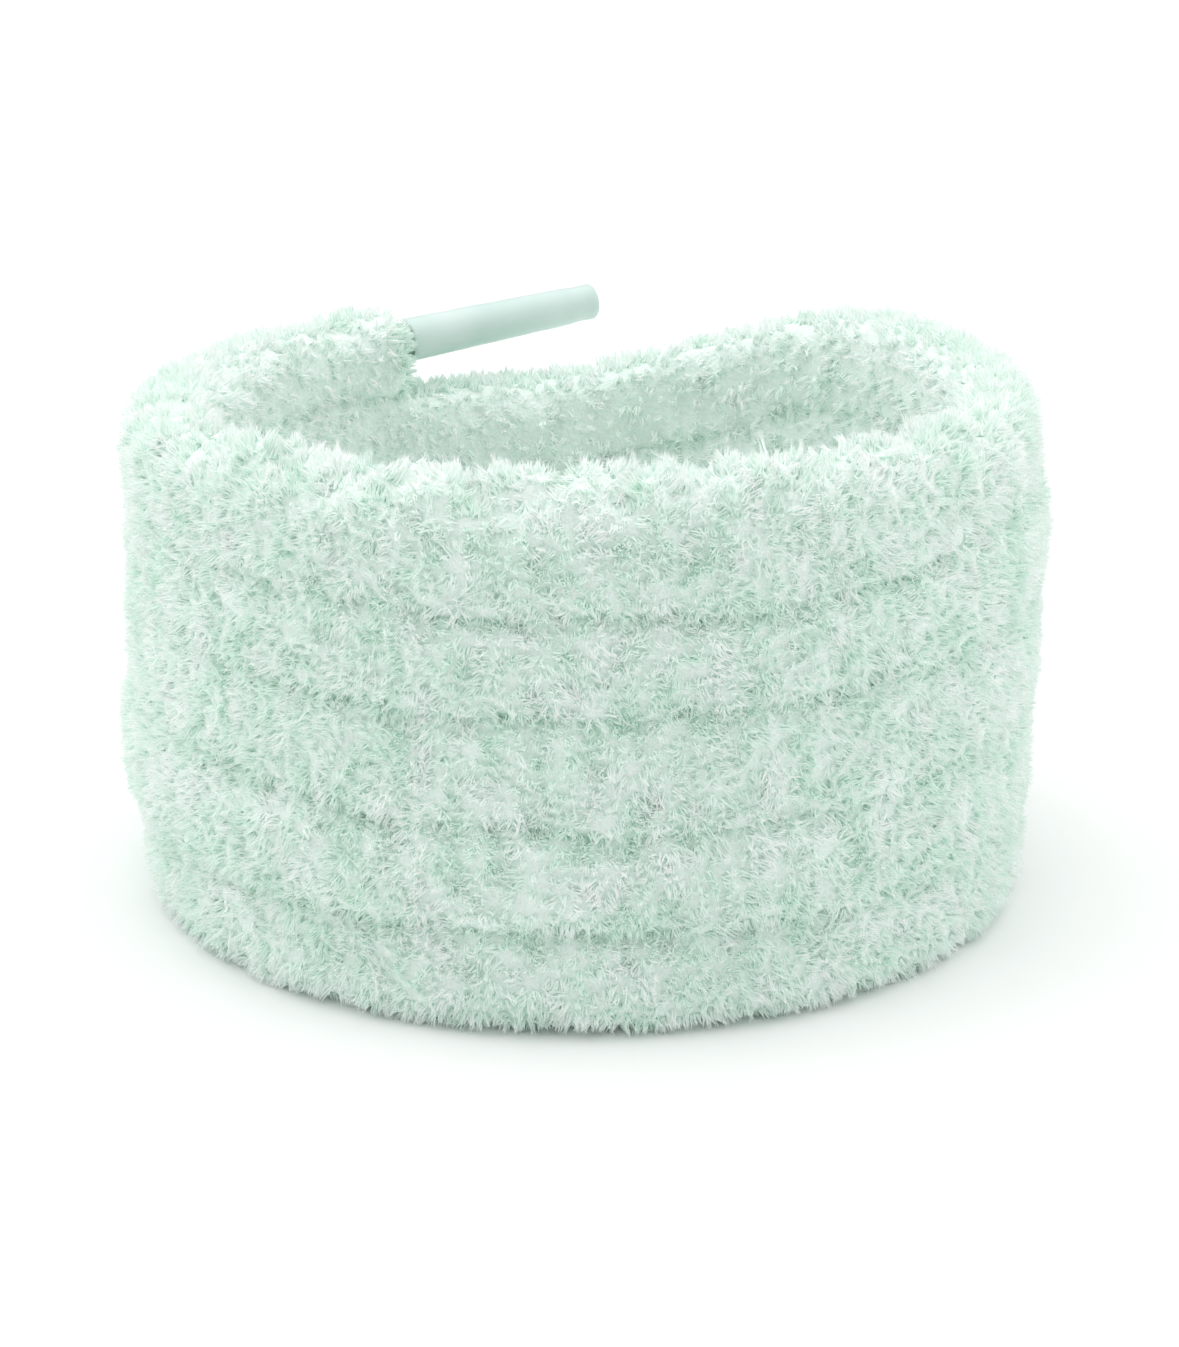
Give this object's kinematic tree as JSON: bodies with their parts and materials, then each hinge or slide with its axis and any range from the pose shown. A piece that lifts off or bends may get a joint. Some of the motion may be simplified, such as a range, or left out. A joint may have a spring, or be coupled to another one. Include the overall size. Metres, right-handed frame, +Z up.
{
  "type": "coiled plush shoelace",
  "caption": "Soft plush-pile lace wound into a standing round coil of stacked turns, with a film-wrapped aglet on each end.",
  "frame": {"origin": "middle of the whole outline, on the surface that the coil stands on", "axes": "+Z up along the coil's axis; -Y is the front; the free end leaves the top turn at the back left and points towards +X and +Y"},
  "size_m": [0.0842, 0.0892, 0.0467],
  "materials": {
    "plush_pile": "dense soft plush pile",
    "filler_strand": "matte yarn",
    "aglet_film": "satin"
  },
  "bodies": {
    "coil": {"pile_turn_1": "plush_pile", "pile_turn_2": "plush_pile", "pile_turn_3": "plush_pile", "pile_turn_4": "plush_pile", "pile_turn_5": "plush_pile", "core_strand_1": "filler_strand", "core_strand_2": "filler_strand", "core_strand_3": "filler_strand", "core_strand_4": "filler_strand"},
    "free_end": {"free_end_pile": "plush_pile", "free_core_strand_1": "filler_strand", "free_core_strand_2": "filler_strand", "free_core_strand_3": "filler_strand", "free_core_strand_4": "filler_strand"},
    "top_aglet": {"top_aglet_sleeve": "aglet_film", "top_aglet_core": "filler_strand"},
    "tail_aglet": {"tail_aglet_sleeve": "aglet_film", "tail_aglet_core": "filler_strand"}
  },
  "joints": [
    {"name": "free_end_swing", "type": "hinge", "parent": "coil", "child": "free_end", "pos_m": [-0.03265, 0.01628, 0.04215], "axis": [0, 0, 1], "range_deg": [-30, 60], "stiffness_Nm_per_rad": 0.002},
    {"name": "top_aglet_lift", "type": "hinge", "parent": "free_end", "child": "top_aglet", "pos_m": [-0.01876, 0.03025, 0.04215], "axis": [0.5592, -0.829, 0], "range_deg": [-6, 30], "stiffness_Nm_per_rad": 0.003},
    {"name": "tail_aglet_swing", "type": "hinge", "parent": "coil", "child": "tail_aglet", "pos_m": [0.03543, 0.01033, 0.00455], "axis": [0, 0, 1], "range_deg": [-30, 10], "stiffness_Nm_per_rad": 0.003}
  ]
}
